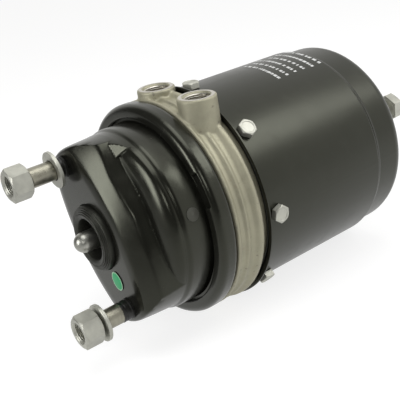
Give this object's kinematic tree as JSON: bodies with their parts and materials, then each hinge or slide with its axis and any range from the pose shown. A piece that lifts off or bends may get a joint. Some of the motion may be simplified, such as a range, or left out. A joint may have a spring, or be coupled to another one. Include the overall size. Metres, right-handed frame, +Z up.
{
  "type": "air brake chamber",
  "caption": "Service and spring brake chamber for a disc brake: studded pressed housing, clamp ring, cast flange with air ports, spring cylinder, push rod and release bolt.",
  "frame": {"origin": "centre of the mounting face, on the push rod's axis", "axes": "-Y out of the mounting face along the push rod's stroke, +Y along the chamber to the release bolt, +Z up along the air ports"},
  "size_m": [0.1854, 0.4013, 0.1867],
  "materials": {
    "black_paint": "satin black paint",
    "zinc_steel": "light grey zinc",
    "bright_steel": "satin",
    "spring_steel": "dark coated spring steel",
    "cast_alloy": "as cast, satin",
    "black_rubber": "matte",
    "nylon": "natural"
  },
  "bodies": {
    "chamber": {"service_housing": "black_paint", "mounting_studs": "zinc_steel", "stud_nuts": "zinc_steel", "stud_washers": "zinc_steel", "vent_plugs": "black_rubber", "clamp_ring": "black_paint", "intermediate_flange": "cast_alloy", "spring_cylinder": "black_paint", "cylinder_bolts": "zinc_steel", "rear_cap": "black_paint", "release_nut": "zinc_steel", "seal_retainer": "zinc_steel", "tube_guide_bush": "nylon", "tube_seals": "black_rubber", "cylinder_o_ring": "black_rubber", "service_diaphragm": "black_rubber", "rod_seal": "black_rubber", "return_spring": "spring_steel", "power_spring": "spring_steel"},
    "push_rod": {"push_rod": "bright_steel", "push_plate": "zinc_steel"},
    "spring_piston": {"spring_piston": "cast_alloy", "piston_seal": "black_rubber", "piston_guide_ring": "nylon", "push_tube": "bright_steel", "push_foot": "nylon"},
    "release_bolt": {"release_bolt": "zinc_steel", "thrust_washer": "zinc_steel", "bolt_circlip": "spring_steel"}
  },
  "joints": [
    {"name": "push_rod_stroke", "type": "slide", "parent": "chamber", "child": "push_rod", "axis": [0, -1, 0], "range_m": [0, 0.057], "stiffness_N_per_m": 1500, "deforming": ["return_spring", "service_diaphragm", "rod_seal"]},
    {"name": "spring_piston_lift", "type": "slide", "parent": "chamber", "child": "spring_piston", "axis": [0, 1, 0], "range_m": [0, 0.002], "stiffness_N_per_m": 8000, "deforming": ["power_spring"]},
    {"name": "release_bolt_travel", "type": "slide", "parent": "chamber", "child": "release_bolt", "axis": [0, -1, 0], "range_m": [0, 0.075]}
  ]
}
